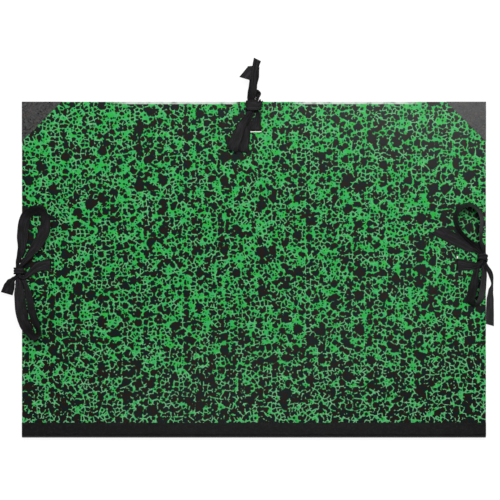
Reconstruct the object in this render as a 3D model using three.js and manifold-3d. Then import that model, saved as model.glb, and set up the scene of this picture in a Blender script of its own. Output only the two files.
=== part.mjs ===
// A half-bound drawing portfolio, lying flat on its back cover and tied shut with three bows.
//
// Frame: millimetres, +Z up. The origin is on the ground below the middle of the boards. The spine
// runs along X on the -Y side, the opening edge is on the +Y side, and the front cover is on top.
// Both covers are the same assembly: the front one is the back one turned half a turn about Y.

import * as THREE from 'three';
import { mergeVertices } from 'three/addons/utils/BufferGeometryUtils.js';
import Module from 'manifold-3d';

const wasm = await Module();
wasm.setup();

// Boards and their coverings
const boardWidth = 720;
const boardDepth = 516;
const boardThickness = 2.5;
const paperThickness = 0.125;
const clothThickness = 0.25;
const turnIn = 18; // paper and cloth folded round onto the inner face
const cornerLeg = 62; // along each edge, from the corner
const liningMargin = 6; // edge of the board to edge of the lining
const liningStep = 2; // over which the lining comes down from the turn-ins to the board
const sheetSpace = 6; // between the two linings

// Spine
const spineOverlap = 18; // cloth glued to each board
const spineBulge = 6; // cloth standing out beyond the boards
const spineSteps = 16;
const liningOverHinge = 10; // of the lining over the inner cloth strip
const clothButt = 0.3; // between the inner strip and the turned-in ends of the outer one

// Ribbons and the slots that they are threaded through
const ribbonWidth = 19;
const ribbonThickness = 0.2;
const slotLength = 20;
const slotWidth = 3;
const slotInset = 44; // from the edge of the board to the slot
const sideSlotShift = 5; // of the left and right slots towards the opening edge
const topSlotShift = 2; // of the top slot along the edge
const tabLength = 45; // glued down inside
const tabRecess = 0.5; // pressed into the board for the tab
const edgeGap = 1.1; // between the boards' edges and the ribbon that passes them
const pleatDepth = 2.1; // of a ribbon gathered to nothing
const pleats = 4;

// Levels of one cover, inwards from the face that it lies on
const paperOuter = clothThickness;
const boardOuter = paperOuter + paperThickness;
const boardInner = boardOuter + boardThickness;
const paperTurned = boardInner + paperThickness;
const clothTurned = paperTurned + clothThickness;
const liningInner = clothTurned + paperThickness;
const height = 2 * liningInner + sheetSpace;

const halfWidth = boardWidth / 2;
const spineEdge = -boardDepth / 2;
const openEdge = boardDepth / 2;

const marbledPaper = { color: 0x2f9a4c, roughness: 0.45, metalness: 0 };
const bookCloth = { color: 0x1c1c1e, roughness: 0.7, metalness: 0 };
const liningPaper = { color: 0xe6e2d8, roughness: 0.9, metalness: 0 };
const greyBoard = { color: 0xb9b4a8, roughness: 0.95, metalness: 0 };
const ribbonCloth = { color: 0x201e22, roughness: 0.75, metalness: 0 };

// Conversions between a three.js geometry and a solid that can be cut and joined
function solid(geometry) {
  const bare = geometry.clone();
  bare.deleteAttribute('normal');
  bare.deleteAttribute('uv');
  const merged = mergeVertices(bare, 1e-5);
  return new wasm.Manifold(
    new wasm.Mesh({
      numProp: 3,
      vertProperties: merged.attributes.position.array,
      triVerts: new Uint32Array(merged.index.array),
    }),
  );
}

function geometryOf(body) {
  const mesh = body.getMesh();
  const geometry = new THREE.BufferGeometry();
  geometry.setAttribute('position', new THREE.BufferAttribute(mesh.vertProperties, 3));
  geometry.setIndex(new THREE.BufferAttribute(mesh.triVerts, 1));
  geometry.computeVertexNormals();
  return geometry;
}

function box(x0, x1, y0, y1, z0, z1) {
  const geometry = new THREE.BoxGeometry(x1 - x0, y1 - y0, z1 - z0);
  geometry.translate((x0 + x1) / 2, (y0 + y1) / 2, (z0 + z1) / 2);
  return solid(geometry);
}

// A piece with one section all along X, from an outline of [y, z] points
function alongX(outline, x0, x1) {
  const shape = new THREE.Shape(outline.map(([y, z]) => new THREE.Vector2(y, z)));
  const geometry = new THREE.ExtrudeGeometry(shape, { depth: x1 - x0, bevelEnabled: false });
  geometry.translate(0, 0, x0);
  geometry.applyMatrix4(new THREE.Matrix4().set(0, 0, 1, 0, 1, 0, 0, 0, 0, 1, 0, 0, 0, 0, 0, 1));
  return solid(geometry);
}

function named(name, geometry, look) {
  const mesh = new THREE.Mesh(geometry, new THREE.MeshStandardMaterial(look));
  mesh.name = name;
  return mesh;
}

// The three slots of a cover, in its own frame: where each one is and which way its edge lies. A
// cover that is turned over has its top slot on the other side of the middle.
function slotsOf(side) {
  return [
    { at: [halfWidth, sideSlotShift], out: [1, 0] },
    { at: [-halfWidth, sideSlotShift], out: [-1, 0] },
    { at: [side * topSlotShift, openEdge], out: [0, 1] },
  ];
}

// A block over the slot's own axes: u outwards from the board's edge, v along the edge
function slotBlock({ at, out }, u0, u1, halfLength, z0, z1) {
  const across = out[0] === 0;
  const ends = [u0, u1].map((u) => (across ? at[1] + u * out[1] : at[0] + u * out[0]));
  const [low, high] = ends.sort((a, b) => a - b);
  return across
    ? box(at[0] - halfLength, at[0] + halfLength, low, high, z0, z1)
    : box(low, high, at[1] - halfLength, at[1] + halfLength, z0, z1);
}

function cutSlots(body, side) {
  const far = -slotInset - slotWidth / 2;
  const near = -slotInset + slotWidth / 2;
  let cut = body;
  for (const slot of slotsOf(side)) {
    cut = cut.subtract(slotBlock(slot, far, near, slotLength / 2, 0, clothTurned));
  }
  return cut;
}

function board(side) {
  let body = box(-halfWidth, halfWidth, spineEdge, openEdge, boardOuter, boardInner);
  for (const slot of slotsOf(side)) {
    const recess = [-slotInset - tabLength - slotWidth, -slotInset];
    const levels = [boardInner - tabRecess, boardInner];
    body = body.subtract(slotBlock(slot, ...recess, slotLength / 2, ...levels));
  }
  return geometryOf(cutSlots(body, side));
}

// A sheet folded round the two ends and the opening edge of the board, with its turn-ins.
// The core is what it is folded round: a box that reaches this far past the board.
function wrap(past, thickness, core, inner) {
  const x = halfWidth + past;
  const y = openEdge + past;
  const outside = box(-x - thickness, x + thickness, spineEdge, y + thickness,
    core - thickness, inner + thickness);
  const window = box(-halfWidth + turnIn, halfWidth - turnIn, spineEdge - 1, openEdge - turnIn,
    core, inner + 2 * thickness);
  return outside.subtract(box(-x, x, spineEdge - 1, y, core, inner)).subtract(window);
}

function coverPaper(side) {
  return geometryOf(cutSlots(wrap(0, paperThickness, boardOuter, boardInner), side));
}

function cornerCloth(side) {
  const x = side * (halfWidth + paperThickness + clothThickness);
  const y = openEdge + paperThickness + clothThickness;
  const corner = [[x, y], [x - side * cornerLeg, y], [x, y - cornerLeg]];
  const shape = new THREE.Shape(corner.map(([a, b]) => new THREE.Vector2(a, b)));
  const prism = new THREE.ExtrudeGeometry(shape, { depth: height, bevelEnabled: false });
  const cloth = wrap(paperThickness, clothThickness, paperOuter, paperTurned);
  return geometryOf(cloth.intersect(solid(prism)));
}

// Lining paper, glued over the turn-ins and down to the board within them: a loft of rectangles
function lining() {
  const inset = (side, spine) => [
    -halfWidth + side, halfWidth - side, spineEdge + spine, openEdge - side,
  ];
  const rim = inset(liningMargin, spineOverlap - liningOverHinge);
  const brink = inset(turnIn + liningStep, spineOverlap + liningStep);
  const floor = inset(turnIn + 2 * liningStep, spineOverlap + 2 * liningStep);
  const rings = [
    [floor, boardInner],
    [brink, clothTurned],
    [rim, clothTurned],
    [rim, liningInner],
    [brink, liningInner],
    [floor, boardInner + paperThickness],
  ];
  const positions = rings.flatMap(([[x0, x1, y0, y1], z]) => [
    x0, y0, z, x1, y0, z, x1, y1, z, x0, y1, z,
  ]);
  const index = [0, 2, 1, 0, 3, 2];
  for (let ring = 0; ring < rings.length - 1; ring += 1) {
    for (let side = 0; side < 4; side += 1) {
      const a = 4 * ring + side;
      const b = 4 * ring + ((side + 1) % 4);
      index.push(a, b, b + 4, a, b + 4, a + 4);
    }
  }
  const last = 4 * (rings.length - 1);
  index.push(last, last + 1, last + 2, last, last + 2, last + 3);
  const geometry = new THREE.BufferGeometry();
  geometry.setAttribute('position', new THREE.Float32BufferAttribute(positions, 3));
  geometry.setIndex(index);
  geometry.computeVertexNormals();
  return geometry;
}

function buildCover(name, side) {
  const cover = new THREE.Group();
  const corner = { plus: side > 0 ? 'right' : 'left', minus: side > 0 ? 'left' : 'right' };
  cover.add(named(`${name}_board`, board(side), greyBoard));
  cover.add(named(`${name}_cover_paper`, coverPaper(side), marbledPaper));
  cover.add(named(`${name}_lining`, lining(), liningPaper));
  cover.add(named(`${name}_${corner.plus}_corner`, cornerCloth(1), bookCloth));
  cover.add(named(`${name}_${corner.minus}_corner`, cornerCloth(-1), bookCloth));
  return cover;
}

// The fold of cloth beyond the boards' spine edges, as half an ellipse this far inside the outermost
// one, from the back cover up to the front one
function spineFold(inside, start = 0) {
  const reach = spineBulge - inside;
  const rise = height / 2 - inside;
  const first = Math.asin(start / reach);
  return Array.from({ length: spineSteps + 1 }, (_, i) => {
    const angle = first + ((Math.PI - 2 * first) * i) / spineSteps;
    return [spineEdge - reach * Math.sin(angle), height / 2 - rise * Math.cos(angle)];
  });
}

const boardFar = spineEdge + spineOverlap;

function outerStrip() {
  return [
    [boardFar, 0],
    ...spineFold(0),
    [boardFar, height],
    [boardFar, height - clothThickness],
    ...spineFold(clothThickness).reverse(),
    [boardFar, clothThickness],
  ];
}

// The inner side of a strip that lies on the boards' inner faces at this level, from front to back
function insideOf(level) {
  const face = level + clothThickness;
  return [
    [boardFar, height - face],
    [spineEdge - clothThickness, height - face],
    ...spineFold(2 * clothThickness, clothThickness).reverse(),
    [spineEdge - clothThickness, face],
    [boardFar, face],
  ];
}

// A strip down inside the fold, round the boards' inner arrises and onto their inner faces. Its outer
// side lies this far inside the outermost cloth.
function innerStrip(level, inside) {
  return [
    [boardFar, level],
    [spineEdge, level],
    ...spineFold(inside),
    [spineEdge, height - level],
    [boardFar, height - level],
    ...insideOf(level),
  ];
}

function spineCloth() {
  const end = halfWidth + paperThickness + clothThickness;
  const wall = end - clothThickness;
  const closed = [[boardFar, 0], ...spineFold(0), [boardFar, height], ...insideOf(paperTurned)];
  const turnedIn = innerStrip(paperTurned, clothThickness / 2);
  let cloth = alongX(outerStrip(), -end, end);
  for (const side of [-1, 1]) {
    const span = (from, to) => [side * from, side * to].sort((a, b) => a - b);
    cloth = cloth.add(alongX(turnedIn, ...span(halfWidth - turnIn, end)));
    cloth = cloth.add(alongX(closed, ...span(wall, end)));
  }
  return geometryOf(cloth);
}

function spineLining() {
  const reach = halfWidth - turnIn - clothButt;
  return geometryOf(alongX(innerStrip(boardInner, clothThickness), -reach, reach));
}

// Ribbons. A ribbon is a band swept through stations. Each station gives the middle of the band,
// its width there, and the direction across it. A band narrower than the flat ribbon is pleated.
const across = new THREE.Vector3();
const tangent = new THREE.Vector3();
const normal = new THREE.Vector3();
const up = new THREE.Vector3(0, 0, 1);

function frames(stations) {
  const curve = new THREE.CatmullRomCurve3(stations.map((s) => s.at), false, 'centripetal');
  const last = stations.length - 1;
  // A tilt turns the band about its own run: 0 lies flat and 90 stands on its edge.
  stations.forEach((station, i) => {
    if (station.across) return;
    curve.getTangent(i / last, tangent);
    const side = new THREE.Vector3().crossVectors(tangent, up).normalize();
    const rise = new THREE.Vector3().crossVectors(side, tangent).normalize();
    const tilt = THREE.MathUtils.degToRad(station.tilt);
    station.across = side.multiplyScalar(Math.cos(tilt)).addScaledVector(rise, Math.sin(tilt));
  });
  for (let i = 1; i <= last; i += 1) {
    if (stations[i].across.dot(stations[i - 1].across) < 0) stations[i].across.negate();
  }
  const fine = 12;
  const kept = [];
  for (let i = 0; i <= last * fine; i += 1) {
    const from = stations[Math.min(Math.floor(i / fine), last - 1)];
    const to = stations[Math.min(Math.floor(i / fine), last - 1) + 1];
    const share = i === last * fine ? 1 : (i % fine) / fine;
    const eased = share * share * (3 - 2 * share);
    curve.getTangent(i / (last * fine), tangent);
    across.lerpVectors(from.across, to.across, eased);
    across.addScaledVector(tangent, -across.dot(tangent)).normalize();
    const frame = {
      at: curve.getPoint(i / (last * fine)),
      across: across.clone(),
      normal: normal.crossVectors(tangent, across).normalize().clone(),
      width: THREE.MathUtils.lerp(from.width, to.width, eased),
      tangent: tangent.clone(),
    };
    const before = kept[kept.length - 1];
    const end = i === last * fine;
    if (!before || end || before.at.distanceTo(frame.at) > longestStep || turned(before, frame)) {
      kept.push(frame);
    }
  }
  return kept;
}

const longestStep = 11;
const sharpestTurn = Math.cos(THREE.MathUtils.degToRad(13));

function turned(a, b) {
  return a.tangent.dot(b.tangent) < sharpestTurn || a.normal.dot(b.normal) < sharpestTurn;
}

function band(stations, cut) {
  const rows = frames(stations);
  const positions = [];
  for (const [i, row] of rows.entries()) {
    const depth = (pleatDepth * (1 - row.width / ribbonWidth)) / 2;
    for (const face of [-1, 1]) {
      for (let k = 0; k <= pleats; k += 1) {
        const share = (2 * k) / pleats - 1;
        const rise = (k % 2 ? -depth : depth) + (face * ribbonThickness) / 2;
        const slant = i === rows.length - 1 ? cut * share : 0;
        const point = row.at.clone();
        point.addScaledVector(row.across, (share * row.width) / 2);
        point.addScaledVector(row.normal, rise);
        point.addScaledVector(row.tangent, slant);
        positions.push(point.x, point.y, point.z);
      }
    }
  }
  const ring = 2 * (pleats + 1);
  const order = [];
  for (let k = 0; k <= pleats; k += 1) order.push(k);
  for (let k = pleats; k >= 0; k -= 1) order.push(pleats + 1 + k);
  const index = [];
  // Both faces are split along the same diagonals, so that they stay apart where the band twists.
  for (let row = 0; row < rows.length - 1; row += 1) {
    for (let k = 0; k < ring; k += 1) {
      const a = row * ring + order[k];
      const b = row * ring + order[(k + 1) % ring];
      if (k < pleats) index.push(a, b, b + ring, a, b + ring, a + ring);
      else index.push(a, b, a + ring, b, b + ring, a + ring);
    }
  }
  const far = (rows.length - 1) * ring;
  for (let k = 0; k < pleats; k += 1) {
    const [a, b, c, d] = [k, k + 1, k + pleats + 2, k + pleats + 1];
    index.push(a, c, b, a, d, c, far + a, far + b, far + c, far + a, far + c, far + d);
  }
  const geometry = new THREE.BufferGeometry();
  geometry.setAttribute('position', new THREE.Float32BufferAttribute(positions, 3));
  geometry.setIndex(index);
  geometry.computeVertexNormals();
  return geometry;
}

// The three places where the portfolio is tied, as seen from above. A slot's u runs outwards from
// the board's edge and its v along the edge. The knot's own axes are s along the strands that it
// holds, l across them and h up from the front cover's paper.
const places = {
  right: {
    at: [halfWidth, sideSlotShift], out: [1, 0], along: [0, 1],
    knot: [-6, 12.2], strands: [0, 1], across: [1, 0],
  },
  left: {
    at: [-halfWidth, sideSlotShift], out: [-1, 0], along: [0, 1],
    knot: [4, -9], strands: [0, 1], across: [-1, 0],
  },
  top: {
    at: [topSlotShift, openEdge], out: [0, 1], along: [1, 0],
    knot: [-5.6, -3.5], strands: [0, 1], across: [1, 0],
  },
};

const aroundStrands = { heading: 90 };

function slotPoint({ at, out, along }, u, v, z) {
  return new THREE.Vector3(
    at[0] + u * out[0] + v * along[0],
    at[1] + u * out[1] + v * along[1],
    z,
  );
}

function knotStation(place, [s, l, h, width, lie = aroundStrands]) {
  const { strands, across: sideways, knot } = place;
  const at = slotPoint(place, ...knot, height - paperOuter + h);
  at.x += s * strands[0] + l * sideways[0];
  at.y += s * strands[1] + l * sideways[1];
  if (lie.heading === undefined) return { at, width, tilt: lie };
  const heading = THREE.MathUtils.degToRad(lie.heading);
  const level = new THREE.Vector3(...strands, 0).multiplyScalar(Math.sin(heading));
  level.addScaledVector(new THREE.Vector3(...sideways, 0), -Math.cos(heading));
  return { at, width, across: level };
}

// The glued tab, the passage through the slot and the first of the way along the outer face.
// Levels are measured from the face that the cover lies on, up for the back and down for the front.
function threaded(place, levelToZ, outside) {
  const inside = boardInner - tabRecess / 2;
  const middle = (boardOuter + boardInner) / 2;
  const path = [
    [-slotInset - tabLength, inside],
    [-slotInset - tabLength / 2, inside],
    [-slotInset - 2, inside],
    [-slotInset - 0.7, inside - 0.3],
    [-slotInset, middle],
    [-slotInset + 0.4, paperOuter + 0.15],
    [-slotInset + 1.1, outside],
    [-slotInset + 4, outside],
  ];
  return path.map(([u, level]) => ({
    at: slotPoint(place, u, 0, levelToZ(level)),
    width: ribbonWidth,
    across: new THREE.Vector3(...place.along, 0),
  }));
}

const frontLevel = (level) => height - level;
const backLevel = (level) => level;
const clearOfPaper = 0.2; // from the paper to the middle of a ribbon that lies on it

function frontRibbon(place, { tied, cut }) {
  const stations = threaded(place, frontLevel, paperOuter - clearOfPaper);
  stations.push(...tied.map((row) => knotStation(place, row)));
  return band(stations, cut);
}

// A back ribbon runs out below the back cover, up past the edges of both boards and on to the knot.
function backRibbon(place, { edge, tied, cut }) {
  const low = paperOuter / 2;
  const reach = paperThickness + edgeGap;
  const [v, width, rise] = edge;
  const past = (u, z, wide = width) => ({
    at: slotPoint(place, u, v, z),
    width: wide,
    across: new THREE.Vector3(...place.along, 0),
  });
  const stations = threaded(place, backLevel, low);
  stations.push(past(-slotInset / 3, low, ribbonWidth));
  stations.push(past(-1.5, low, ribbonWidth));
  stations.push(past(0.35, low, ribbonWidth));
  stations.push(past(reach, low + reach));
  stations.push(past(reach, height / 2));
  stations.push(past(reach, rise));
  stations.push(...tied.map((row) => knotStation(place, row)));
  return band(stations, cut);
}

// Stations of the tied bows, in the knot's axes: [s, l, h, width, tilt]. A station without a tilt goes
// round the strands, and one at a fold gives the heading of the run there, from s towards l.
const bows = {
  right: {
    front: {
      cut: 2,
      tied: [
        [-13, -20, 1.6, 15, 0],
        [-12.5, -9, 4.6, 8, 0],
        [-7.5, -1.6, 5.5, 5.2, 0],
        [0, 0, 4.9, 5.2, 0],
        [7, -2.5, 5.1, 5.6, 20],
        [18, -12, 6.6, 10, 55],
        [31, -27, 8.4, 14, 70],
        [46, -39, 9.2, 17, 74],
        [62, -42.5, 9.4, 19, 74],
        [76, -35, 9.4, 19, 70],
        [81, -23, 9.4, 19, 70],
        [75, -9, 9.4, 19, 64],
        [62, -2, 9.2, 18, 60],
        [44, -2.4, 8.4, 15, 58],
        [27, -3, 6, 10, 52],
        [13, 1, 3.4, 6, 25],
        [6.5, 2.9, 2.9, 5.2, 0],
        [-6.5, 2.9, 2.9, 5.2, 0],
        [-14, 6, 3.2, 6.5, 10],
        [-26, 13, -0.4, 9, 28],
        [-41, 16.3, -4.2, 10, 62],
        [-52, 14.4, -5.4, 14, 48],
        [-68, 13.6, -5.6, 18, 42],
        [-88, 13.4, -5.8, 19, 41],
        [-106, 13.4, -5.8, 19, 41],
      ],
    },
    back: {
      edge: [8, 12, height - 1],
      cut: 5,
      tied: [
        [-3, 7.8, 2.4, 9],
        [-1, 7.6, 5, 9],
        [0.6, 3.5, 7, 9.5],
        [0.8, -3.5, 7, 9.5],
        [0.4, -7.2, 5, 9],
        [-0.8, -6.8, 2, 8.6],
        [-4, -3, 1.1, 8.4, 0],
        [-10, 1.2, 1.2, 8, 0],
        [-21, 2.4, 4.6, 11, 36],
        [-36, 1.4, 7.6, 15, 58],
        [-52, -0.6, 8.7, 18, 60],
        [-66, -4, 9, 19, 62],
        [-73.5, -11.5, 9, 19, 64],
        [-68, -18.5, 9, 19, 62],
        [-52, -16, 8.7, 18, 60],
        [-34, -12, 6.8, 14, 54],
        [-19, -8.2, 4, 9, 34],
        [-11, -4.6, 3.2, 5.6, 5],
        [-6, -2.9, 2.9, 5.2, 0],
        [6.5, -2.9, 2.9, 5.2, 0],
        [13, -8, 2.1, 8, 0],
        [22, -24, 1.1, 15, 0],
        [31, -44, 0.7, 19, 0],
        [42, -70, 0.6, 19, 0],
      ],
    },
  },
  left: {
    front: {
      cut: 1,
      tied: [
        [6, -30, 1.3, 15, 0],
        [-3, -18, 2.6, 10, 0],
        [-10.5, -8, 5.4, 6, 0],
        [-8.5, -1.6, 5.8, 5.2, 0],
        [0, 0, 4.9, 5.2, 0],
        [7, -2, 5.2, 5.6, 10],
        [13, -7.5, 6.2, 8, 22],
        [27, -18, 6.6, 14, 36],
        [43, -30, 7.2, 18, 40],
        [59, -38.5, 7.6, 19, 42],
        [76, -41.5, 8, 19, 45],
        [90, -37, 8, 19, 45],
        [94, -25.5, 8, 19, 45],
        [88, -13.5, 8, 19, 45],
        [75, -8.5, 8, 19, 45],
        [55, -6, 7.4, 18, 45],
        [32, -4.4, 6.4, 13, 40],
        [16, 1.2, 4.4, 7, 20],
        [7, 2.9, 2.9, 5.2, 0],
        [-6.5, 2.9, 2.9, 5.2, 0],
        [-10, 5.4, 3.6, 5.4, 0],
        [-14, 9.8, 2.7, 6.4, 0],
        [-19, 13.6, -1, 12, 0],
        [-26, 17, -4, 18, 0],
        [-36, 21, -6.5, 19, 0],
      ],
    },
    back: {
      edge: [-7, 12, height / 2 + 1],
      cut: 3,
      tied: [
        [-1.8, 1.5, -3.4, 9],
        [-1.2, 7.4, -0.8, 9],
        [-0.4, 8.4, 3, 9],
        [0.2, 7, 6, 9.5],
        [0.6, 0, 7.2, 9.5],
        [0.4, -6.6, 5.8, 9],
        [-0.2, -7.6, 3.2, 8.6],
        [-1.5, -6, 1.7, 8.4],
        [-5, -1.6, 1.35, 8.4, 0],
        [-10, 0.6, 1.2, 8, 0],
        [-22, 0, 3.8, 12, 24],
        [-38, -1.3, 6.6, 17, 34],
        [-64, -4.2, 7.6, 19, 40],
        [-83, -9.6, 8.2, 19, 46],
        [-97, -18, 9, 19, 58],
        [-103.5, -26, 9.4, 19, 64],
        [-97, -33, 9.4, 19, 64],
        [-82, -27, 8.6, 19, 58],
        [-64, -21, 7.8, 18, 54],
        [-41, -15.5, 6, 14, 48],
        [-21, -9.6, 4, 8.5, 26],
        [-11, -4.6, 3.1, 5.6, 5],
        [-6, -2.9, 2.9, 5.2, 0],
        [6.5, -2.9, 2.9, 5.2, 0],
        [12, -4, 1.9, 5.6, 0],
        [17, -0.6, 0.6, 7.5, 35],
        [23, 0.8, -2.2, 10, 74],
        [36, 0.4, -2.4, 16, 86],
        [52, 1, -2.7, 19, 88],
      ],
    },
  },
  top: {
    front: {
      cut: 1.5,
      tied: [
        [-24, 6.6, 0.9, 13, 0],
        [-14, 8.2, 2.2, 8, 0],
        [-7, 5.6, 2.9, 5, 0],
        [6.5, 5.4, 2.9, 5, 0],
        [12.5, 7.5, 3, 5.8, 45],
        [18, 9.8, 3.3, 7, 85],
        [20.2, 7, 3.5, 7, 90],
        [17, 4, 3.6, 6.6, 86],
        [11, 1.4, 3.1, 5.4, 40],
        [6.5, 0, 2.9, 5.2, 0],
        [-6.5, 0, 2.9, 5.2, 0],
        [-10.5, -0.8, 4.4, 5.4, 0],
        [-18, -6.2, 5.3, 8, 0],
        [-34, -18, 5.9, 13, 0],
        [-54, -27, 5.6, 17, 0],
        [-66, -32, 5.6, 18, 0],
        [-70, -33.6, 7, 18, { heading: 21.8 }],
        [-66, -32, 8.4, 18, 0],
        [-52, -26, 8.6, 17, 0],
        [-33, -18.4, 8.2, 13, 0],
        [-14, -7.4, 8, 7, 0],
        [-6.5, -2.8, 5.7, 5.2, 0],
        [6.5, -2.8, 5.7, 5.2, 0],
        [14, -1, 7.4, 7.5, 0],
        [24, 1.2, 8.6, 10, 0],
        [44, 2, 8.8, 9.5, 12],
        [60, 4.4, 8.8, 11, 16],
        [70.5, 7, 8.8, 12.5, 16],
      ],
    },
    back: {
      edge: [8.5, 6.5, height + 1.9],
      cut: 4,
      tied: [
        [5.4, 12, 4.8, 7],
        [2, 11, 6.2, 10],
        [0.4, 7.6, 7.6, 12],
        [0, 3, 7.9, 13],
        [0, -4, 7.8, 13],
        [-0.2, -9, 6.8, 12],
        [-1, -10.4, 4.6, 9],
        [-3, -9.7, 2.3, 6.5],
        [-6.4, -5.2, 1.2, 6.8, 0],
        [-11, -4, 1.25, 8, 0],
        [-23, -6.6, 2.2, 9.4, 0],
        [-36, -9.4, 1.7, 12, 0],
        [-57, -14, 1.3, 17, 0],
        [-68, -16, 1.3, 18, 0],
        [-72, -17, 2.5, 18, { heading: 14 }],
        [-68, -16, 3.7, 18, 0],
        [-54, -14.6, 3.7, 16, 0],
        [-34, -11.6, 3.7, 12, 0],
        [-14, -8.4, 3.1, 6.2, 0],
        [-6.5, -5.8, 3.2, 5.2, 0],
        [6.5, -5.8, 3.2, 5.2, 0],
        [13, -6, 3, 6, 0],
        [22, -3, 3.4, 10, 0],
        [34, 0.5, 4.4, 13, 0],
        [46, 1.6, 5.2, 16, 0],
        [59, 0.7, 5.2, 18, 0],
        [61, 0.5, 6.1, 18, { heading: -5.7 }],
        [59, 0.7, 7, 18, { heading: -5.7 }],
        [56, 0.6, 7.1, 18.5, 0],
        [48.5, -4.8, 7.1, 19, 0],
        [40.5, -11.4, 7, 19, 0],
      ],
    },
  },
};

const portfolio = new THREE.Group();
portfolio.add(buildCover('back', 1));

const frontCover = buildCover('front', -1);
frontCover.position.z = height;
frontCover.rotation.y = Math.PI;
portfolio.add(frontCover);

portfolio.add(named('spine_cloth', spineCloth(), bookCloth));
portfolio.add(named('spine_lining', spineLining(), bookCloth));

for (const [name, bow] of Object.entries(bows)) {
  const place = places[name];
  portfolio.add(named(`front_${name}_ribbon`, frontRibbon(place, bow.front), ribbonCloth));
  portfolio.add(named(`back_${name}_ribbon`, backRibbon(place, bow.back), ribbonCloth));
}

export default portfolio;
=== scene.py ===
"""A drawing portfolio lying flat, tied shut with three ribbon bows, seen from straight above."""

import math

import bmesh
import bpy
import numpy as np
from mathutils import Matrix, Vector


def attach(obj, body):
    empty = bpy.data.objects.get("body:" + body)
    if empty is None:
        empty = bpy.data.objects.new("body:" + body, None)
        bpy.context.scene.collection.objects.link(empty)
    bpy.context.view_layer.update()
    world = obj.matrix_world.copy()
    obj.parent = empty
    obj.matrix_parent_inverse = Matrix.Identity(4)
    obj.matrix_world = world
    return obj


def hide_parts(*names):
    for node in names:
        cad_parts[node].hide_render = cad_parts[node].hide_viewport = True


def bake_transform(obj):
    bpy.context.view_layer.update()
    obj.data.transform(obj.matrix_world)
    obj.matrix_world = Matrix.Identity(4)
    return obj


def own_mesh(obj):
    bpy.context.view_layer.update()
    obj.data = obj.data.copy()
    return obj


MM = 0.001

# The portfolio's own sizes, in millimetres, as in its solids
HALF_WIDTH = 360.0
OPEN_EDGE = 258.0
HEIGHT = 12.75
PAPER_OUTER = 0.25
BOARD_OUTER = 0.375
BOARD_INNER = 2.875
PAPER_THICKNESS = 0.125
RIBBON_WIDTH = 19.0
RIBBON_THICKNESS = 0.2
SLOT_INSET = 44.0
SLOT_LENGTH = 20.0
SLOT_WIDTH = 3.0
TAB_LENGTH = 45.0
TAB_RECESS = 0.5
EDGE_GAP = 1.1
PLEAT_DEPTH = 2.1
CLEAR_OF_PAPER = 0.2
TOP_SLOT_SHIFT = 2.0
SIDE_SLOT_SHIFT = 5.0
UNDER_COVER = PAPER_OUTER / 2

# The camera: the photograph's scale at the front cover and the point under the middle of the picture
PHOTO_PIXELS = 500
MM_PER_PIXEL = 1.5524
VIEW_CENTRE = (-6.1, 28.1)
CAMERA_HEIGHT = 2200.0
SENSOR = 36.0
VIEW_DEPTH = 20.0

# The stage, in metres: the floor, and each softbox's place, size and radiance
FLOOR_LEVEL = -0.2 * MM
FLOOR_HALF = 20.0
WORLD_STRENGTH = 0.07
SOFTBOXES = {
    "top_softbox": ((0.05, 1.35, 2.25), (2.4, 0.9), 8.6),
    "corner_softbox": ((0.4, 0.71, 2.25), (0.9, 0.38), 6.3),
    "near_softbox": ((0.15, -0.31, 2.25), (1.3, 0.2), 1.3),
    "left_softbox": ((-2.6, -0.4, 1.3), (1.2, 1.6), 3.2),
    "right_softbox": ((2.6, -0.2, 1.3), (1.2, 1.6), 3.2),
    "spine_softbox": ((0.0, -2.6, 1.2), (2.4, 0.9), 0.8),
}

# The front paper's fold at the opening edge carries a painted highlight on both sides of the top bow, a pale
# line where light glints off the rounded fold: the middle of the two stretches, how far from it the highlight
# begins and ends, and where it fades in, measured in from the edge and down from the face
HIGHLIGHT_MIDDLE = 20.0
HIGHLIGHT_BEGINS = (40.0, 52.0)
HIGHLIGHT_ENDS = (205.0, 250.0)
HIGHLIGHT_FROM_EDGE = (4.2, 2.4)
HIGHLIGHT_FROM_FACE = (1.4, 0.6)

# The white core of the paper shows where it is torn beside two slots: the middle and half size of each tear
TEARS = (
    (TOP_SLOT_SHIFT, OPEN_EDGE - SLOT_INSET - SLOT_WIDTH / 2 - 0.7, SLOT_LENGTH / 2, 0.7),
    (HALF_WIDTH - SLOT_INSET, SIDE_SLOT_SHIFT + SLOT_LENGTH / 2 + 1.2, 1.1, 2.4),
)

# The back paper is cut from another place in the pattern
BACK_SHEET_SHIFT = (517.0, 283.0, 0.0)

# Pitches of the ribbon's cross ribs and of its warp, and how far in its selvedge fades out
RIB_PITCH = 0.55
WARP_PITCH = 0.7
SELVEDGE = (1.3, 0.9)

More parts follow.
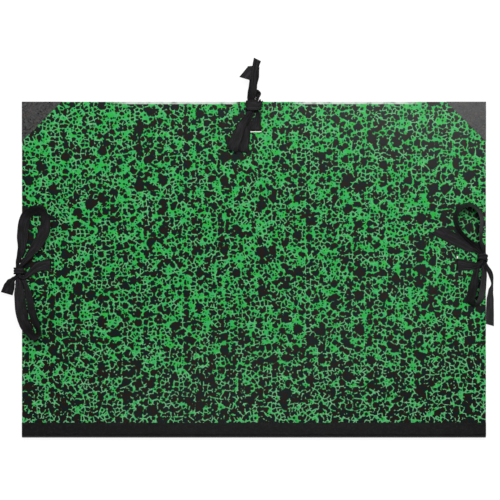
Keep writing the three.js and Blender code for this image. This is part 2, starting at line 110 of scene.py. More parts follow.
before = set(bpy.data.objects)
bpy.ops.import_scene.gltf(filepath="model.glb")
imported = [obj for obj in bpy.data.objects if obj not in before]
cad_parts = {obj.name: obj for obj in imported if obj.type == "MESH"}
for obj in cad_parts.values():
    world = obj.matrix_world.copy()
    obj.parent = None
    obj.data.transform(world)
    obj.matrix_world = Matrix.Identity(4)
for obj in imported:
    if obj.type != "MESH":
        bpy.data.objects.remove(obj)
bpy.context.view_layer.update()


# Materials
class Graph:
    """A material's node tree, with short ways to add nodes to it."""

    def __init__(self, name):
        self.material = bpy.data.materials.new(name)
        self.material.use_nodes = True
        self.tree = self.material.node_tree
        self.shader = self.tree.nodes["Principled BSDF"]

    def add(self, kind, inputs=(), **settings):
        """A new node with these inputs and settings. Gives its first output."""
        node = self.tree.nodes.new("ShaderNode" + kind)
        for key, value in settings.items():
            setattr(node, key, value)
        pairs = inputs.items() if isinstance(inputs, dict) else enumerate(inputs)
        for key, value in pairs:
            self.feed(node.inputs[key], value)
        return node.outputs[0]

    def feed(self, socket, value):
        if isinstance(value, bpy.types.NodeSocket):
            self.tree.links.new(value, socket)
        else:
            socket.default_value = value

    def math(self, operation, *values):
        return self.add("Math", values, operation=operation)

    def noise(self, place, scale, detail, roughness=0.5):
        inputs = {"Vector": place, "Scale": scale, "Detail": detail, "Roughness": roughness}
        return self.add("TexNoise", inputs)

    def ramp(self, value, low, high):
        """0 at and below low, 1 at and above high, smooth between them."""
        inputs = {"Value": value, "From Min": low, "From Max": high}
        return self.add("MapRange", inputs, interpolation_type="SMOOTHSTEP")

    def product(self, first, second):
        return self.math("MULTIPLY", first, second)

    def spread(self, value, begin, end, low, high):
        """The value from begin to end, spread evenly from low to high."""
        inputs = {"Value": value, "From Min": begin, "From Max": end, "To Min": low, "To Max": high}
        return self.add("MapRange", inputs)

    def blend(self, share, first, second):
        return self.add("MixRGB", (share, first, second))

    def bump(self, height, strength, distance):
        inputs = {"Height": height, "Strength": strength, "Distance": distance}
        self.feed(self.shader.inputs["Normal"], self.add("Bump", inputs))

    def set(self, **inputs):
        for name, value in inputs.items():
            self.feed(self.shader.inputs[name.replace("_", " ")], value)


def srgb(red, green, blue):
    """A colour given as 0 to 255 on screen, as linear light."""
    linear = [((c / 255 + 0.055) / 1.055) ** 2.4 if c > 10 else c / 255 / 12.92 for c in (red, green, blue)]
    return (*linear, 1.0)


def millimetres(graph):
    """The surface's place in the portfolio's own frame, in millimetres."""
    place = graph.tree.nodes.new("ShaderNodeTexCoord").outputs["Object"]
    return graph.add("VectorMath", (place, (1 / MM, 1 / MM, 1 / MM)), operation="MULTIPLY")


def parts_of(graph, place):
    """The place's three coordinates, each on its own."""
    node = graph.add("SeparateXYZ", (place,)).node
    return [node.outputs[axis] for axis in "XYZ"]


def shifted(graph, place, offset):
    return graph.add("VectorMath", (place, offset), operation="ADD")


def stirred(graph, place, spacing, reach):
    """The place, pushed about by noise, so that round forms become ragged."""
    noise = graph.noise(place, 1 / spacing, 3.0, 0.6).node
    centred = graph.add("VectorMath", (noise.outputs["Color"], (0.5, 0.5, 0.5)), operation="SUBTRACT")
    pushed = graph.add("VectorMath", (centred, (reach, reach, 0.0)), operation="MULTIPLY")
    return graph.add("VectorMath", (place, pushed), operation="ADD")


def drops(graph, place, spacing, smallest, largest, gap):
    """Round drops of ink, one to a cell this far apart, from smallest to largest in cell widths.

    Where they crowd each other, a thin gap stays between them. Gives the ink and the distance to
    the cell's rim.
    """
    cells = {"Vector": place, "Scale": 1 / spacing, "Randomness": 1.0}
    rim = graph.add("TexVoronoi", cells, voronoi_dimensions="2D", feature="DISTANCE_TO_EDGE")
    from_centre = graph.add("TexVoronoi", cells, voronoi_dimensions="2D")
    chance = graph.add("SeparateColor", {"Color": from_centre.node.outputs["Color"]})
    span = graph.math("SUBTRACT", largest, smallest)
    radius = graph.math("ADD", smallest, graph.product(chance, span))
    inside = graph.ramp(graph.math("SUBTRACT", radius, from_centre), -0.03, 0.03)
    return graph.product(inside, graph.ramp(rim, gap, gap + 0.05)), rim


def torn(graph, across, along, tear):
    """1 inside a tear, 0 elsewhere."""
    x, y, half_x, half_y = tear
    beside = graph.math("LESS_THAN", graph.math("ABSOLUTE", graph.math("SUBTRACT", across, x)), half_x)
    level = graph.math("LESS_THAN", graph.math("ABSOLUTE", graph.math("SUBTRACT", along, y)), half_y)
    return graph.product(beside, level)


def painted_fold_highlight(graph, place, across, along, height):
    """How strongly the painted highlight shows on the front cover's fold at the opening edge, where light
    glints off it.
    """
    from_middle = graph.math("ABSOLUTE", graph.math("SUBTRACT", across, HIGHLIGHT_MIDDLE))
    beside_bow = graph.product(
        graph.ramp(from_middle, *HIGHLIGHT_BEGINS),
        graph.math("SUBTRACT", 1.0, graph.ramp(from_middle, *HIGHLIGHT_ENDS)),
    )
    patches = graph.ramp(graph.noise(place, 1 / 14, 3.0), 0.2, 0.56)
    fold = graph.ramp(along, *(OPEN_EDGE - inwards for inwards in HIGHLIGHT_FROM_EDGE))
    outer = graph.ramp(height, *(HEIGHT - down for down in HIGHLIGHT_FROM_FACE))
    return graph.product(graph.product(fold, outer), graph.product(beside_bow, patches))


def marbled_paper(name, offset, tears):
    """Glossy green paper with round drops of black that crowd each other down to a fine green net."""
    graph = Graph(name)
    across, along, height = parts_of(graph, millimetres(graph))
    wrapped = (graph.math("ADD", across, height), graph.math("ADD", along, height))
    place = shifted(graph, graph.add("CombineXYZ", wrapped), offset)
    ragged = stirred(graph, place, 2.8, 1.8)

    toward_spine = graph.math("SUBTRACT", 1.0, graph.ramp(along, -240.0, -60.0))
    crowding = graph.ramp(graph.noise(place, 1 / 18, 2.0), 0.34, 0.66)
    drift = graph.ramp(graph.noise(place, 1 / 60, 1.0), 0.3, 0.7)
    crowding = graph.math("ADD", crowding, graph.product(toward_spine, 0.65))
    crowding = graph.math("ADD", crowding, graph.product(graph.math("SUBTRACT", drift, 0.5), 0.3))
    often = graph.product(crowding, 0.5)
    ink, rim = drops(graph, ragged, 6.6, 0.12, graph.math("ADD", 0.56, often), 0.075)
    # Larger and smaller drops among them, each size in cells of its own
    for shift, spacing, smallest, largest, gap in (
        ((5.0, 43.0, 0.0), 10.5, graph.math("ADD", -0.45, often), 0.68, 0.05),
        ((31.0, 7.0, 0.0), 19.0, -0.62, 0.52, 0.03),
        ((17.0, 3.0, 0.0), 4.0, -0.3, 0.46, 0.1),
    ):
        layer, _ = drops(graph, shifted(graph, ragged, shift), spacing, smallest, largest, gap)
        ink = graph.math("MAXIMUM", ink, layer)

    shade = graph.noise(shifted(graph, place, (90.0, 0.0, 0.0)), 1 / 7, 2.0)
    green = graph.blend(graph.ramp(shade, 0.36, 0.64), srgb(38, 175, 60), srgb(54, 170, 98))
    net = graph.product(crowding, graph.math("SUBTRACT", 1.0, graph.ramp(rim, 0.05, 0.14)))
    green = graph.blend(graph.product(net, 0.75), green, srgb(118, 182, 136))
    tint = graph.noise(shifted(graph, place, (0.0, 70.0, 0.0)), 1 / 7, 1.0)
    black = graph.blend(graph.ramp(tint, 0.42, 0.58), srgb(33, 23, 17), srgb(15, 28, 30))
    colour = graph.blend(ink, green, black)
    for tear in tears:
        colour = graph.blend(torn(graph, across, along, tear), colour, srgb(236, 234, 228))
    # Painted highlight: a pale line along the fold at the opening edge, where light glints off the rounded
    # paper
    colour = graph.blend(painted_fold_highlight(graph, place, across, along, height), colour, srgb(196, 208, 198))

    fibre = graph.noise(place, 1.1, 4.0, 0.7)
    graph.set(Base_Color=colour, Specular_IOR_Level=0.16)
    graph.set(Roughness=graph.spread(fibre, 0.3, 0.7, 0.2, 0.27))
    relief = graph.math("ADD", graph.product(ink, 0.02), graph.product(fibre, 0.03))
    graph.bump(relief, 0.4, MM)
    return graph.material


def book_cloth(name, grain_depth_and_sheen, gloss):
    """Black cloth with a leather grain. Where its grain is pressed more deeply, its high spots carry a
    painted sheen: pale grey standing in for the glossy haze of reflected light.
    """
    low = srgb(4, 4, 5)
    high = srgb(15, 15, 16)
    graph = Graph(name)
    place = millimetres(graph)
    cells = {"Vector": stirred(graph, place, 2.0, 0.8), "Scale": 1 / 0.9}
    grain = graph.add("TexVoronoi", cells, feature="DISTANCE_TO_EDGE")
    fine = graph.noise(place, 0.55, 4.0, 0.8)
    pebble = graph.noise(place, 0.34, 3.0, 0.75)
    rubbed = graph.noise(place, 1 / 45, 3.0)
    cast = graph.noise(place, 1 / 8, 2.0)
    colour = graph.blend(graph.ramp(fine, 0.42, 0.7), low, high)
    colour = graph.blend(graph.product(graph.ramp(rubbed, 0.55, 0.75), 0.4), colour, high)
    # Painted sheen: pale grey on the grain's high spots, strongest where the grain is deepest, stands in for
    # the glossy haze of reflected light
    painted_sheen = graph.product(graph.ramp(pebble, 0.48, 0.66), 0.9 * grain_depth_and_sheen)
    colour = graph.blend(painted_sheen, colour, srgb(57, 56, 61))
    browned = graph.product(graph.ramp(cast, 0.48, 0.66), 0.3 * grain_depth_and_sheen)
    colour = graph.blend(browned, colour, srgb(58, 48, 32))
    uneven = 0.1 * grain_depth_and_sheen
    graph.set(Base_Color=colour, Specular_IOR_Level=gloss)
    graph.set(Roughness=graph.spread(pebble, 0.35, 0.65, 0.33 - uneven, 0.33 + uneven))
    relief = graph.math("ADD", graph.ramp(grain, 0.0, 0.3), graph.product(fine, 4.0))
    relief = graph.math("ADD", relief, graph.product(pebble, 7.0 * grain_depth_and_sheen))
    graph.bump(graph.product(relief, 0.025), 0.8, MM)
    return graph.material


def plain_paper():
    """Uncoated off-white paper, faintly flecked and clouded."""
    graph = Graph("lining_paper")
    place = millimetres(graph)
    fleck = graph.noise(place, 0.7, 4.0, 0.7)
    cloud = graph.noise(place, 1 / 60, 2.0)
    colour = graph.blend(fleck, srgb(222, 218, 206), srgb(238, 235, 226))
    colour = graph.blend(graph.product(cloud, 0.25), colour, srgb(214, 208, 192))
    graph.set(Base_Color=colour, Roughness=0.85)
    graph.bump(fleck, 0.25, 0.1 * MM)
    return graph.material


def grey_board():
    """Solid grey board, with its fibres in sight."""
    graph = Graph("grey_board")
    place = millimetres(graph)
    fibre = graph.noise(place, 0.9, 5.0, 0.75)
    colour = graph.blend(fibre, srgb(158, 152, 140), srgb(196, 190, 178))
    graph.set(Base_Color=colour, Roughness=0.95)
    graph.bump(fibre, 0.5, 0.2 * MM)
    return graph.material


def ribbon_cloth():
    """Black woven tape: fine ribs across it, a firmer selvedge down each side, creases along it."""
    graph = Graph("ribbon_cloth")
    lay = graph.tree.nodes.new("ShaderNodeUVMap")
    lay.uv_map = "weave"
    flat = lay.outputs["UV"]
    across, along, _ = parts_of(graph, flat)
    rib = graph.math("ABSOLUTE", graph.math("SINE", graph.product(along, math.pi / RIB_PITCH)))
    warp = graph.math("ABSOLUTE", graph.math("SINE", graph.product(across, math.pi / WARP_PITCH)))
    weave = graph.product(graph.math("ADD", rib, graph.product(warp, 0.35)), 0.74)
    from_middle = graph.math("ABSOLUTE", graph.math("SUBTRACT", across, RIBBON_WIDTH / 2))
    selvedge = graph.ramp(from_middle, *(RIBBON_WIDTH / 2 - inwards for inwards in SELVEDGE))
    stretched = graph.add("Mapping", {"Vector": flat, "Scale": (0.05, 1.2, 1.0)})
    slub = graph.noise(stretched, 1.0, 3.0)
    lengthways = graph.add("Mapping", {"Vector": flat, "Scale": (0.5, 0.05, 1.0)})
    crease = graph.noise(lengthways, 1.0, 3.0)
    colour = graph.blend(weave, srgb(3, 3, 4), srgb(19, 17, 19))
    colour = graph.blend(graph.product(graph.ramp(slub, 0.5, 0.75), 0.5), colour, srgb(34, 31, 35))
    colour = graph.blend(graph.product(graph.ramp(crease, 0.45, 0.7), 0.6), colour, srgb(46, 42, 47))
    colour = graph.blend(graph.product(selvedge, 0.4), colour, srgb(7, 7, 8))
    graph.set(Base_Color=colour, Roughness=0.62, Specular_IOR_Level=0.17)
    graph.set(Sheen_Weight=0.02, Sheen_Roughness=0.5)
    height = graph.math("ADD", weave, graph.product(selvedge, 0.8))
    height = graph.math("ADD", height, graph.product(crease, 9.0))
    graph.bump(graph.product(height, 0.06), 0.7, MM)
    return graph.material


def dress(name, material):
    """Gives a solid a finish in place of its plain one."""
    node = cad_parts[name]
    node.data.materials.clear()
    node.data.materials.append(material)


# Ribbons: nearly the same runs as the solid ribbons, swept with a finer section. Some loops lie flatter
# than the solid ones, and a few stretches are broader or moved by up to 4 mm. Each station gives the
# middle of the band, its width there and the direction across it.
class Place:
    """One of the three places where the portfolio is tied: its slot and the axes of its knot."""

    def __init__(self, at, out, along, knot, strands, sideways):
        self.at, self.out, self.along = (np.array((*v, 0.0)) for v in (at, out, along))
        self.knot = knot
        self.strands, self.sideways = (np.array((*v, 0.0)) for v in (strands, sideways))

    def point(self, u, v, z):
        """The point this far outwards from the board's edge, along the edge and up."""
        return self.at + u * self.out + v * self.along + np.array((0, 0, z))

    def station(self, s, l, h, width, lie=None, heading=90.0):
        """A station given in the knot's axes: along the strands, across them and up from the paper."""
        at = self.point(*self.knot, HEIGHT - PAPER_OUTER + h) + s * self.strands + l * self.sideways
        if lie is not None:
            return at, width, lie
        turn = math.radians(heading)
        return at, width, math.sin(turn) * self.strands - math.cos(turn) * self.sideways


PLACES = {
    "right": Place((HALF_WIDTH, SIDE_SLOT_SHIFT), (1, 0), (0, 1), (-6, 12.2), (0, 1), (1, 0)),
    "left": Place((-HALF_WIDTH, SIDE_SLOT_SHIFT), (-1, 0), (0, 1), (4, -9), (0, 1), (-1, 0)),
    "top": Place((TOP_SLOT_SHIFT, OPEN_EDGE), (0, 1), (1, 0), (-5.6, -3.5), (0, 1), (1, 0)),
}

# Stations of the tied bows, in the knot's axes: (s, l, h, width, tilt). A station without a tilt goes
# round the strands, and one at a fold has None and the heading of the run there, from s towards l.
BOWS = {
    "right": {
        "front": {
            "cut": 2,
            "tied": [
                (-13, -20, 1.6, 15, 0),
                (-12.5, -9, 4.6, 8, 0),
                (-7.5, -1.6, 5.5, 5.2, 0),
                (0, 0, 4.9, 5.2, 0),
                (7, -2.5, 5.1, 5.6, 20),
                (18, -12, 6.6, 10, 55),
                (31, -27, 8.4, 14, 70),
                (46, -39, 9.2, 17, 74),
                (62, -42.5, 9.4, 19, 74),
                (76, -35, 9.4, 19, 70),
                (81, -23, 9.4, 19, 70),
                (75, -9, 9.4, 19, 64),
                (62, -2, 9.2, 18, 60),
                (44, -2.4, 8.4, 15, 58),
                (27, -3, 6, 10, 52),
                (13, 1, 3.4, 6, 25),
                (6.5, 2.9, 2.9, 5.2, 0),
                (-6.5, 2.9, 2.9, 5.2, 0),
                (-14, 6, 3.2, 6.5, 10),
                (-26, 13, -0.4, 9, 28),
                (-41, 16.3, -4.2, 10, 62),
                (-52, 14.4, -5.4, 14, 48),
                (-68, 13.6, -5.6, 18, 42),
                (-88, 13.4, -5.8, 19, 41),
                (-106, 13.4, -5.8, 19, 41),
            ],
        },
        "back": {
            "edge": (8, 12, HEIGHT - 1),
            "cut": 5,
            "tied": [
                (-3, 7.8, 2.4, 9),
                (-1, 7.6, 5, 9),
                (0.6, 3.5, 7, 9.5),
                (0.8, -3.5, 7, 9.5),
                (0.4, -7.2, 5, 9),
                (-0.8, -6.8, 2, 8.6),
                (-4, -3, 1.1, 8.4, 0),
                (-10, 1.2, 1.2, 8, 0),
                (-21, 2.4, 4.6, 11, 36),
                (-36, 1.4, 7.6, 15, 46),
                (-52, -0.6, 8.7, 18, 46),
                (-66, -4, 9, 19, 52),
                (-73.5, -11.5, 9, 19, 64),
                (-68, -18.5, 9, 19, 54),
                (-52, -16, 8.7, 18, 48),
                (-34, -12, 6.8, 14, 44),
                (-19, -8.2, 4, 9, 34),
                (-11, -4.6, 3.2, 5.6, 5),
                (-6, -2.9, 2.9, 5.2, 0),
                (6.5, -2.9, 2.9, 5.2, 0),
                (10.5, -9, 2.1, 9, 0),
                (18, -24.5, 1.1, 17, 0),
                (28.5, -44.5, 0.7, 19, 0),
                (42.5, -70, 0.6, 19, 0),
            ],
        },
    },
    "left": {
        "front": {
            "cut": 1,
            "tied": [
                (6, -30, 1.3, 15, 0),
                (-3, -18, 2.6, 10, 0),
                (-10.5, -8, 5.4, 6, 0),
                (-8.5, -1.6, 5.8, 5.2, 0),
                (0, 0, 4.9, 5.2, 0),
                (7, -2, 5.2, 5.6, 10),
                (13, -7.5, 6.2, 8, 22),
                (27, -18, 6.6, 14, 24),
                (43, -30, 7.2, 18, 16),
                (59, -38.5, 7.6, 19, 14),
                (76, -41.5, 8, 19, 32),
                (90, -37, 8, 19, 45),
                (94, -25.5, 8, 19, 45),
                (88, -13.5, 8, 19, 45),
                (75, -8.5, 8, 19, 34),
                (55, -6, 7.4, 18, 26),
                (32, -4.4, 6.4, 13, 24),
                (16, 1.2, 4.4, 7, 20),
                (7, 2.9, 2.9, 5.2, 0),
                (-6.5, 2.9, 2.9, 5.2, 0),
                (-10, 5.4, 3.6, 5.4, 0),
                (-14, 9.8, 2.7, 8, 0),
                (-19, 13.6, -1, 14.5, 0),
                (-26, 17, -4, 18, 0),
                (-36, 21, -6.5, 19, 0),
            ],
        },
        "back": {
            "edge": (-7, 12, HEIGHT / 2 + 1),
            "cut": 3,
            "tied": [
                (-1.8, 1.5, -3.4, 9),
                (-1.2, 7.4, -0.8, 9),
                (-0.4, 8.4, 3, 9),
                (0.2, 7, 6, 9.5),
                (0.6, 0, 7.2, 9.5),
                (0.4, -6.6, 5.8, 9),
                (-0.2, -7.6, 3.2, 8.6),
                (-1.5, -6, 1.7, 8.4),
                (-5, -1.6, 1.35, 8.4, 0),
                (-10, 0.6, 1.2, 8, 0),
                (-22, 0, 3.8, 12, 24),
                (-38, -1.3, 6.6, 17, 22),
                (-64, -4.2, 7.6, 19, 28),
                (-83, -9.6, 8.2, 19, 38),
                (-97, -18, 9, 19, 58),
                (-103.5, -26, 9.4, 19, 64),
                (-97, -33, 9.4, 19, 64),
                (-82, -27, 8.6, 19, 50),
                (-64, -21, 7.8, 18, 40),
                (-41, -15.5, 6, 14, 34),
                (-21, -9.6, 4, 8.5, 26),
                (-11, -4.6, 3.1, 5.6, 5),
                (-6, -2.9, 2.9, 5.2, 0),
                (6.5, -2.9, 2.9, 5.2, 0),
                (12, -4, 1.9, 5.6, 0),
                (17, -0.6, 0.6, 7.5, 35),
                (23, 0.8, -2.2, 10, 74),
                (36, 0.4, -2.4, 16, 86),
                (52, 1, -2.7, 19, 88),
            ],
        },
    },
    "top": {
        "front": {
            "cut": 1.5,
            "tied": [
                (-24, 6.6, 0.9, 13, 0),
                (-14, 8.2, 2.2, 8, 0),
                (-7, 5.6, 2.9, 5, 0),
                (6.5, 5.4, 2.9, 5, 0),
                (12.5, 7, 3, 6.4, 34),
                (18, 8.6, 3.3, 8.8, 38),
                (20.6, 6, 3.5, 8.8, 44),
                (17, 3.4, 3.6, 8.4, 38),
                (11, 1.4, 3.1, 5.8, 30),
                (6.5, 0, 2.9, 5.2, 0),
                (-6.5, 0, 2.9, 5.2, 0),
                (-10.5, -0.8, 4.4, 5.4, 0),
                (-18, -6.2, 5.3, 8, 0),
                (-34, -18, 5.9, 13, 0),
                (-54, -27, 5.6, 17, 0),
                (-66, -32, 5.6, 18, 0),
                (-70, -33.6, 7, 18, None, 21.8),
                (-66, -32, 8.4, 18, 0),
                (-52, -26, 8.6, 17, 0),
                (-33, -18.4, 8.2, 13, 0),
                (-14, -7.4, 8, 7, 0),
                (-6.5, -2.8, 5.7, 5.2, 0),
                (6.5, -2.8, 5.7, 5.2, 0),
                (14, -1, 7.4, 7.5, 0),
                (24, 1.2, 8.6, 10, 0),
                (44, 2, 8.8, 9.5, 12),
                (60, 4.4, 8.8, 11, 16),
                (70.5, 7, 8.8, 12.5, 16),
            ],
        },
        "back": {
            "edge": (8.5, 6.5, HEIGHT + 1.9),
            "cut": 4,
            "tied": [
                (5.4, 12, 4.8, 7),
                (2, 11, 6.2, 10),
                (0.4, 7.6, 7.6, 15),
                (0, 3, 7.9, 16.5),
                (0, -4, 7.8, 16.5),
                (-0.2, -9, 6.8, 15),
                (-1, -10.4, 4.6, 9),
                (-3, -9.7, 2.3, 6.5),
                (-6.4, -5.2, 1.2, 6.8, 0),
                (-11, -4, 1.25, 8, 0),
                (-23, -6.6, 2.2, 9.4, 0),
                (-36, -9.4, 1.7, 12, 0),
                (-57, -14, 1.3, 17, 0),
                (-68, -16, 1.3, 18, 0),
                (-72, -17, 2.5, 18, None, 14),
                (-68, -16, 3.7, 18, 0),
                (-54, -14.6, 3.7, 16, 0),
                (-34, -11.6, 3.7, 12, 0),
                (-14, -8.4, 3.1, 6.2, 0),
                (-6.5, -5.8, 3.2, 5.2, 0),
                (6.5, -5.8, 3.2, 5.2, 0),
                (13, -6, 3, 6, 0),
                (22, -3, 3.4, 10, 0),
                (34, 0.5, 4.4, 13, 0),
                (46, 1.6, 5.2, 16, 0),
                (59, 0.7, 5.2, 18, 0),
                (61, 0.5, 6.1, 18, None, -5.7),
                (59, 0.7, 7, 18, None, -5.7),
                (56, 0.6, 7.1, 18.5, 0),
                (48.5, -4.8, 7.1, 19, 0),
                (40.5, -11.4, 7, 19, 0),
            ],
        },
    },
}


def threaded(place, front):
    """The glued tab, the way through the slot and the first of the way along the outer face.

    The points between the slot's two mouths round the turns. Levels are measured in from the face
    that the cover lies on.
    """
    slot = -SLOT_INSET
    inside = BOARD_INNER - TAB_RECESS / 2
    outside = PAPER_OUTER - CLEAR_OF_PAPER if front else UNDER_COVER
    path = (
        (slot - TAB_LENGTH, inside),
        (slot - TAB_LENGTH / 2, inside),
        (slot - 2, inside),
        (slot - 0.7, inside - 0.3),
        (slot, (BOARD_OUTER + BOARD_INNER) / 2),
        (slot + 0.4, PAPER_OUTER + 0.15),
        (slot + 1.1, outside),
        (slot + 4, outside),
    )
    return [
        (place.point(u, 0, HEIGHT - level if front else level), RIBBON_WIDTH, place.along)
        for u, level in path
    ]


def front_stations(place, bow):
    return threaded(place, True) + [place.station(*row) for row in bow["tied"]]


def back_stations(place, bow):
    """Out below the back cover, up past the edges of both boards and on to the knot."""
    reach = PAPER_THICKNESS + EDGE_GAP
    v, width, rise = bow["edge"]
    flat = [(u, UNDER_COVER, RIBBON_WIDTH) for u in (-SLOT_INSET / 3, -1.5, 0.35)]
    up = [(reach, z, width) for z in (UNDER_COVER + reach, HEIGHT / 2, rise)]
    past = [(place.point(u, v, z), wide, place.along) for u, z, wide in flat + up]
    return threaded(place, False) + past + [place.station(*row) for row in bow["tied"]]


def run_of(points, per_span):
    """A centripetal Catmull-Rom curve through the points: where it is and which way it heads."""
    ends = [2 * points[0] - points[1], *points, 2 * points[-1] - points[-2]]
    at, heading = [], []
    for p0, p1, p2, p3 in zip(ends, ends[1:], ends[2:], ends[3:]):
        d0, d1, d2 = (np.linalg.norm(b - a) ** 0.5 for a, b in ((p0, p1), (p1, p2), (p2, p3)))
        t1 = ((p1 - p0) / d0 - (p2 - p0) / (d0 + d1) + (p2 - p1) / d1) * d1
        t2 = ((p2 - p1) / d1 - (p3 - p1) / (d1 + d2) + (p3 - p2) / d2) * d1
        c2, c3 = -3 * p1 + 3 * p2 - 2 * t1 - t2, 2 * p1 - 2 * p2 + t1 + t2
        last = p2 is points[-1]
        for step in range(per_span + last):
            t = step / per_span
            at.append(p1 + t1 * t + c2 * t**2 + c3 * t**3)
            heading.append(t1 + 2 * c2 * t + 3 * c3 * t**2)
    heading = np.array(heading)
    return np.array(at), heading / np.linalg.norm(heading, axis=1, keepdims=True)


def across_at(stations, per_span, heading):
    """The direction across the band at each station, from its tilt about its own run."""
    found = []
    for i, (_, _, lie) in enumerate(stations):
        if isinstance(lie, (int, float)):
            run = heading[i * per_span]
            side = np.cross(run, (0, 0, 1))
            side /= np.linalg.norm(side)
            rise = np.cross(side, run)
            tilt = math.radians(lie)
            lie = math.cos(tilt) * side + math.sin(tilt) * rise / np.linalg.norm(rise)
        if found and np.dot(lie, found[-1]) < 0:
            lie = -lie
        found.append(lie)
    return found


def sweep(name, stations, cut, material):
    """A woven ribbon: a thin closed band, gathered into soft pleats wherever it is narrower than flat."""
    per_span = 10
    columns = 24
    at, heading = run_of([s[0] for s in stations], per_span)
    across = across_at(stations, per_span, heading)
    shares = np.linspace(-1, 1, columns + 1)
    points, weave = [], []
    travelled = 0.0
    for i, (middle, run) in enumerate(zip(at, heading)):
        first = min(i // per_span, len(stations) - 2)
        t = i / per_span - first
        eased = t * t * (3 - 2 * t)
        width = (1 - eased) * stations[first][1] + eased * stations[first + 1][1]
        side = (1 - eased) * across[first] + eased * across[first + 1]
        side = side - np.dot(side, run) * run
        side /= np.linalg.norm(side)
        normal = np.cross(run, side)
        gathered = 1 - width / RIBBON_WIDTH
        turns = 2 * math.pi * (shares + 1)
        pleats = PLEAT_DEPTH / 2 * gathered * (0.72 * np.cos(turns) + 0.38 * np.cos(3 * turns))
        travelled += np.linalg.norm(middle - at[i - 1]) if i else 0.0
        slant = cut * shares * t if first == len(stations) - 2 else 0 * shares
        line = middle + np.outer(shares * width / 2, side) + np.outer(slant, run)
        for face in (1, -1):
            points.append(line + np.outer(pleats + face * RIBBON_THICKNESS / 2, normal))
        weave.append([((share + 1) / 2 * RIBBON_WIDTH, travelled) for share in shares])
    return band_mesh(name, np.array(points) * MM, weave, material), travelled


def band_mesh(name, points, weave, material):
    """Joins the rows, each an upper and a lower line of points, into a closed band."""
    rows = len(weave)
    columns = len(weave[0])
    mesh = bpy.data.meshes.new(name)
    bm = bmesh.new()
    layer = bm.loops.layers.uv.new("weave")
    vertices = [[bm.verts.new(p) for p in line] for line in points]
    place = {}
    for line, row in enumerate(vertices):
        for column, vertex in enumerate(row):
            place[vertex] = weave[line // 2][column]
    for row in range(rows - 1):
        upper, lower = vertices[2 * row], vertices[2 * row + 1]
        next_upper, next_lower = vertices[2 * row + 2], vertices[2 * row + 3]
        for k in range(columns - 1):
            bm.faces.new((upper[k], upper[k + 1], next_upper[k + 1], next_upper[k]))
            bm.faces.new((lower[k + 1], lower[k], next_lower[k], next_lower[k + 1]))
        for k, flip in ((0, False), (columns - 1, True)):
            rim = [upper[k], next_upper[k], next_lower[k], lower[k]]
            bm.faces.new(rim[::-1] if flip else rim)
    for upper, lower, flip in (
        (vertices[0], vertices[1], False),
        (vertices[-2], vertices[-1], True),
    ):
        for k in range(columns - 1):
            end = [upper[k + 1], upper[k], lower[k], lower[k + 1]]
            bm.faces.new(end[::-1] if flip else end)
    bmesh.ops.recalc_face_normals(bm, faces=bm.faces)
    for face in bm.faces:
        face.smooth = True
        for loop in face.loops:
            loop[layer].uv = place[loop.vert]
    bm.to_mesh(mesh)
    bm.free()
    mesh.materials.append(material)
    piece = bpy.data.objects.new(name, mesh)
    bpy.context.collection.objects.link(piece)
    return piece


def tie(name, bow, material):
    """Both ribbons of one bow, each riding on its own cover."""
    place = PLACES[name]
    for side, stations in (
        ("front", front_stations(place, bow["front"])),
        ("back", back_stations(place, bow["back"])),
    ):
        node = f"{side}_{name}_ribbon"
        piece, length = sweep(f"{side}_{name}_tape", stations, bow[side]["cut"], material)
        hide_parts(node)
        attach(piece, f"{side}_cover")
        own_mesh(piece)


# Corners of the solid strips' facets that are closer than this, in millimetres, become one
WELD = 0.001


def hinge(node, name, material):
    """A strip of the cloth hinge, which bends between the two covers."""
    piece = bpy.data.objects.new(name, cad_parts[node].data.copy())
    bpy.context.collection.objects.link(piece)
    piece.data.materials.clear()
    piece.data.materials.append(material)
    bm = bmesh.new()
    bm.from_mesh(piece.data)
    bmesh.ops.remove_doubles(bm, verts=bm.verts, dist=WELD * MM)
    bm.to_mesh(piece.data)
    bm.free()
    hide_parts(node)
    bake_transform(piece)


def floor():
    """A plain pale floor that glows a little, so that it stays white."""
    signs = ((-1, -1), (1, -1), (1, 1), (-1, 1))
    corners = [(x * FLOOR_HALF, y * FLOOR_HALF, FLOOR_LEVEL) for x, y in signs]
    mesh = bpy.data.meshes.new("floor")
    mesh.from_pydata(corners, [], [(0, 1, 2, 3)])
    piece = bpy.data.objects.new("floor", mesh)
    bpy.context.collection.objects.link(piece)
    graph = Graph("floor")
    graph.set(Base_Color=(0.12, 0.12, 0.12, 1), Roughness=1.0, Specular_IOR_Level=0.0)
    graph.set(Emission_Color=(1, 1, 1, 1), Emission_Strength=0.92)
    mesh.materials.append(graph.material)


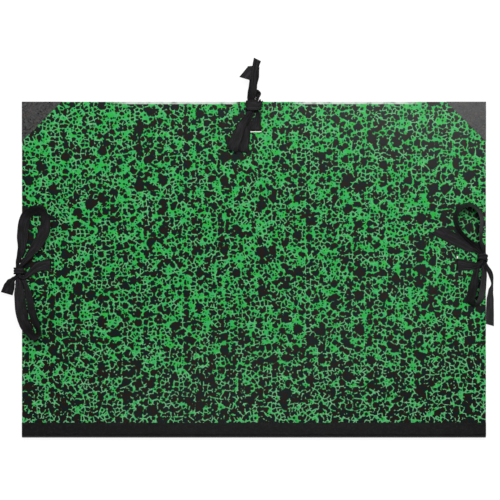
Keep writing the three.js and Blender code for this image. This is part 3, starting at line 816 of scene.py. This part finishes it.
def softbox(name, at, size, radiance):
    """An area light that faces the origin and is this bright on its face, so that its reflections are too."""
    light = bpy.data.lights.new(name, "AREA")
    light.shape = "RECTANGLE"
    light.size, light.size_y = size
    light.energy = radiance * math.pi * size[0] * size[1]
    lamp = bpy.data.objects.new(name, light)
    lamp.location = at
    toward = Vector((0, 0, 0)) - Vector(at)
    lamp.rotation_euler = toward.to_track_quat("-Z", "Y").to_euler()
    bpy.context.collection.objects.link(lamp)


def lights():
    """Soft studio light: the softboxes and a dim, even surround."""
    for name, (at, size, radiance) in SOFTBOXES.items():
        softbox(name, at, size, radiance)
    world = bpy.data.worlds.new("studio")
    world.use_nodes = True
    background = world.node_tree.nodes["Background"]
    background.inputs["Color"].default_value = (1, 1, 1, 1)
    background.inputs["Strength"].default_value = WORLD_STRENGTH
    bpy.context.scene.world = world


def camera():
    """The camera straight above the portfolio, looking down."""
    data = bpy.data.cameras.new("camera")
    data.sensor_width = SENSOR
    data.lens = SENSOR * CAMERA_HEIGHT / (PHOTO_PIXELS * MM_PER_PIXEL)
    data.clip_end = VIEW_DEPTH
    eye = bpy.data.objects.new("camera", data)
    eye.location = (VIEW_CENTRE[0] * MM, VIEW_CENTRE[1] * MM, (HEIGHT + CAMERA_HEIGHT) * MM)
    bpy.context.collection.objects.link(eye)
    bpy.context.scene.camera = eye


camera()
lights()
floor()
bpy.context.scene.view_settings.view_transform = "Standard"

corner_cloth = book_cloth("corner_cloth", grain_depth_and_sheen=1.0, gloss=0.53)
spine_cloth = book_cloth("spine_cloth", grain_depth_and_sheen=0.22, gloss=0.36)
lining = plain_paper()
core = grey_board()
tape = ribbon_cloth()

dress("front_cover_paper", marbled_paper("front_paper", (0.0, 0.0, 0.0), TEARS))
dress("back_cover_paper", marbled_paper("back_paper", BACK_SHEET_SHIFT, ()))
for side in ("front", "back"):
    dress(f"{side}_board", core)
    dress(f"{side}_lining", lining)
    for hand in ("left", "right"):
        dress(f"{side}_{hand}_corner", corner_cloth)
hinge("spine_cloth", "spine_cover", spine_cloth)
hinge("spine_lining", "spine_inner", spine_cloth)
for name, bow in BOWS.items():
    tie(name, bow, tape)
